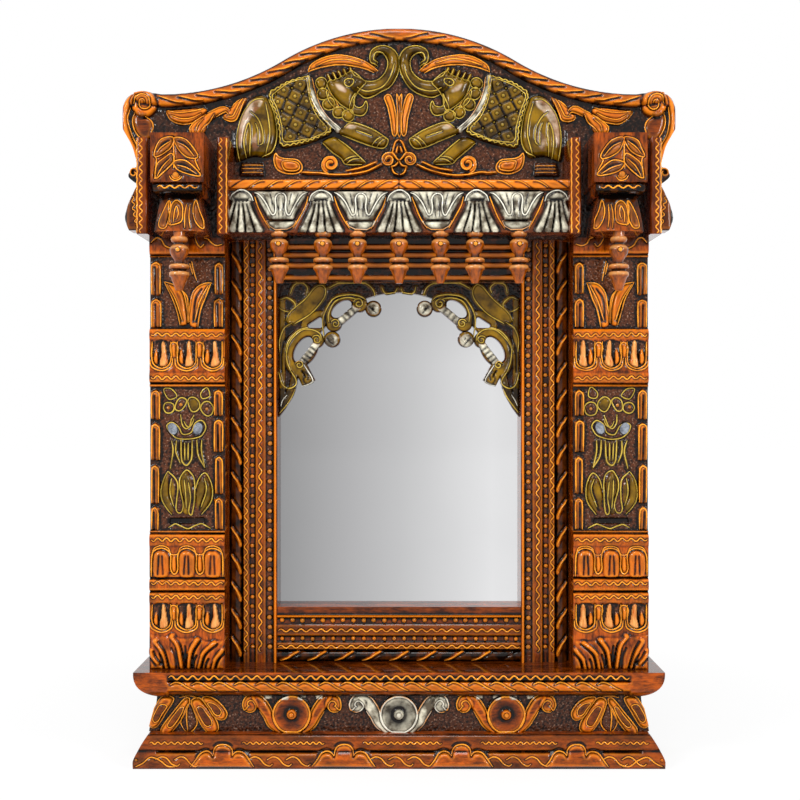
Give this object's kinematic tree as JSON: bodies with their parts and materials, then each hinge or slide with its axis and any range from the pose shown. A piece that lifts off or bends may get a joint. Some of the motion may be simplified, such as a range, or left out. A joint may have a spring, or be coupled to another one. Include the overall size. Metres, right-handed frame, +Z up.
{
  "type": "carved wall mirror",
  "caption": "Wall mirror in a carved wooden window frame: moulded base, columns with bracket capitals, turned drops, arched crest, pierced arch, hung by swinging rings.",
  "frame": {"origin": "on the wall face, midway between the two sides, at the level of the underside of the base", "axes": "+X to the viewer's right, +Y into the wall so that the carved front faces -Y, +Z up"},
  "size_m": [0.461, 0.097, 0.61],
  "materials": {
    "carved_wood": "glossy lacquer over an orange-brown stain",
    "olive_wood": "glossy lacquer over an olive-gold stain",
    "plain_wood": "matt, unlacquered",
    "mirror": "polished",
    "brass": "satin",
    "steel": "plain, slightly dull"
  },
  "bodies": {
    "frame": {"arch_left": "olive_wood", "arch_right": "olive_wood", "back_stile_left": "plain_wood", "back_stile_right": "plain_wood", "backing_board": "plain_wood", "capital_cheek_inner_left": "carved_wood", "capital_cheek_inner_right": "carved_wood", "capital_cheek_outer_left": "carved_wood", "capital_cheek_outer_right": "carved_wood", "column_left": "carved_wood", "column_nails": "steel", "column_right": "carved_wood", "corbel_block_left": "carved_wood", "corbel_block_right": "carved_wood", "corbel_bulb_left": "carved_wood", "corbel_bulb_right": "carved_wood", "cornice_beam": "carved_wood", "cornice_rope": "carved_wood", "crest_board": "carved_wood", "frame_rail_bottom": "carved_wood", "frame_rail_top": "plain_wood", "frame_stile_left": "carved_wood", "frame_stile_right": "carved_wood", "frieze": "carved_wood", "glazing_points": "steel", "hanger_strap_left": "brass", "hanger_strap_right": "brass", "hanger_tacks": "steel", "hanging_rail": "plain_wood", "loose_tenon_left": "plain_wood", "loose_tenon_right": "plain_wood", "mirror_glass": "mirror", "niche_mirror_left": "mirror", "niche_mirror_right": "mirror", "plinth": "carved_wood", "sill": "carved_wood", "soffit": "carved_wood", "turned_drops": "carved_wood"},
    "ring_left": {"hanger_ring_left": "brass"},
    "ring_right": {"hanger_ring_right": "brass"}
  },
  "joints": [
    {"name": "ring_left_swing", "type": "hinge", "parent": "frame", "child": "ring_left", "pos_m": [-0.1, -0.0034, 0.477], "axis": [1, 0, 0], "range_deg": [0, 180]},
    {"name": "ring_right_swing", "type": "hinge", "parent": "frame", "child": "ring_right", "pos_m": [0.1, -0.0034, 0.477], "axis": [1, 0, 0], "range_deg": [0, 180]}
  ]
}
